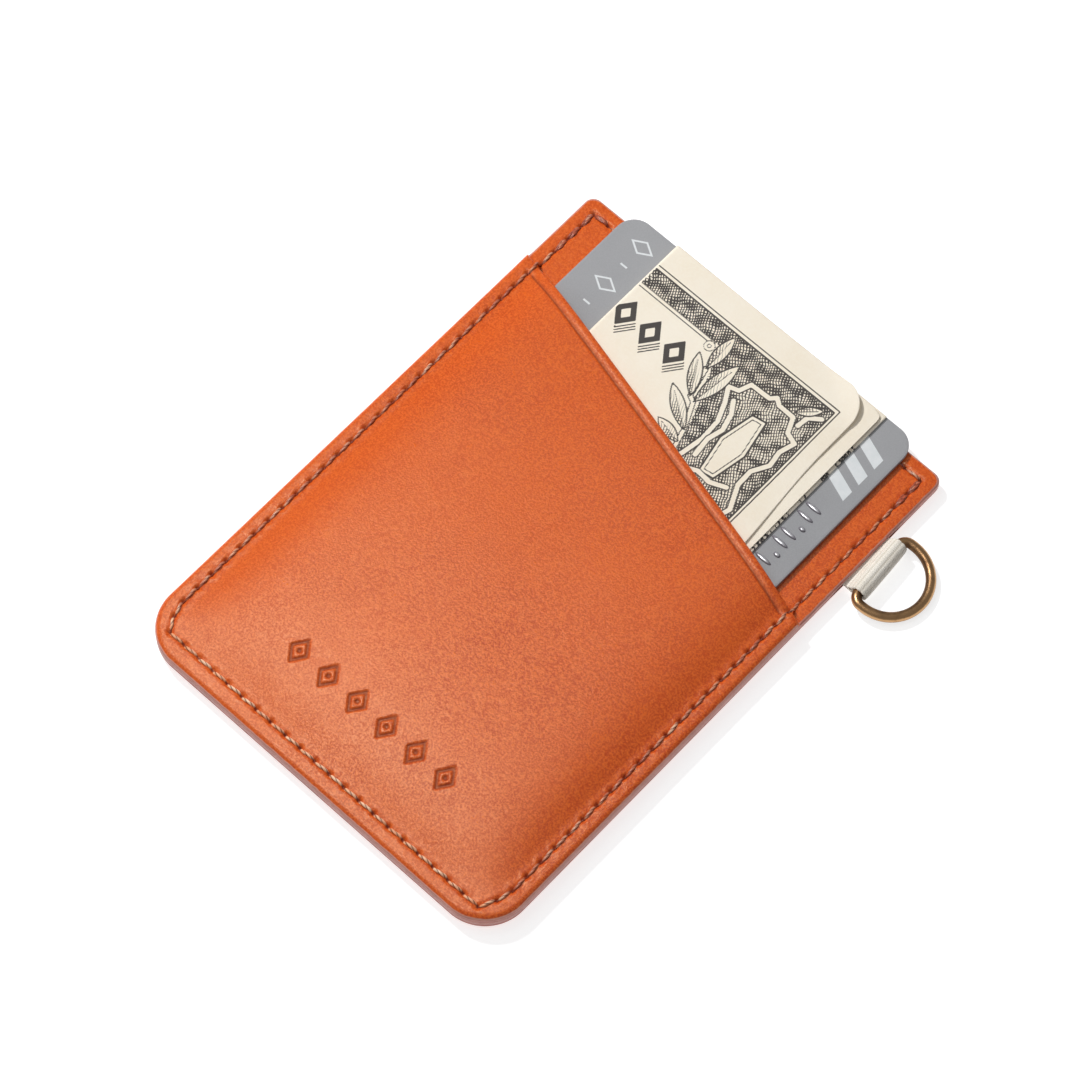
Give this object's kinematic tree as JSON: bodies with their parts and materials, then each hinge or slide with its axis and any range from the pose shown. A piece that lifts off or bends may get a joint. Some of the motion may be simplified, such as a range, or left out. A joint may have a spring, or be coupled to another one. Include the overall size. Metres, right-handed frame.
{
  "type": "minimalist card wallet",
  "caption": "Slim sewn leather card wallet with a slanted front pocket, a webbing tab holding a D-ring, and the bank card and folded banknote it carries.",
  "frame": {"origin": "middle of the flat back face that the wallet lies on", "axes": "+X to the side with the D-ring, +Y up the wallet to its top edge, where the card comes out, +Z out of the front"},
  "size_m": [0.0771, 0.0945, 0.0054],
  "materials": {
    "tan_leather": "smooth vegetable-tanned leather with a soft sheen and mauve painted edges",
    "brown_thread": "twisted two-ply sewing thread",
    "ribbed_webbing": "off-white ribbed tape",
    "antique_brass": "antiqued, brightened where it rubs",
    "card_plastic": "satin grey card",
    "contact_gold": "plated contact plate",
    "stripe_film": "dark magnetic film",
    "signature_film": "writable matt film",
    "note_paper": "cotton and linen paper with dark engraved lines"
  },
  "bodies": {
    "wallet": {"back_panel": "tan_leather", "middle_panel": "tan_leather", "front_pocket": "tan_leather", "needle_thread": "brown_thread", "bobbin_thread": "brown_thread", "webbing_tab": "ribbed_webbing"},
    "ring": {"d_ring": "antique_brass"},
    "card": {"card_core": "card_plastic", "card_chip": "contact_gold", "card_stripe": "stripe_film", "card_signature_strip": "signature_film"},
    "note": {"banknote": "note_paper"}
  },
  "joints": [
    {"name": "ring_swing", "type": "hinge", "parent": "wallet", "child": "ring", "pos_m": [0.03535, 0.03025, 0.00163], "axis": [0.0698, -0.9976, 0], "range_deg": [-108, 135]},
    {"name": "card_slide", "type": "slide", "parent": "wallet", "child": "card", "axis": [0, 1, 0], "range_m": [-0.003, 0.069]},
    {"name": "note_slide", "type": "slide", "parent": "wallet", "child": "note", "axis": [0, 1, 0], "range_m": [0, 0.047]}
  ]
}
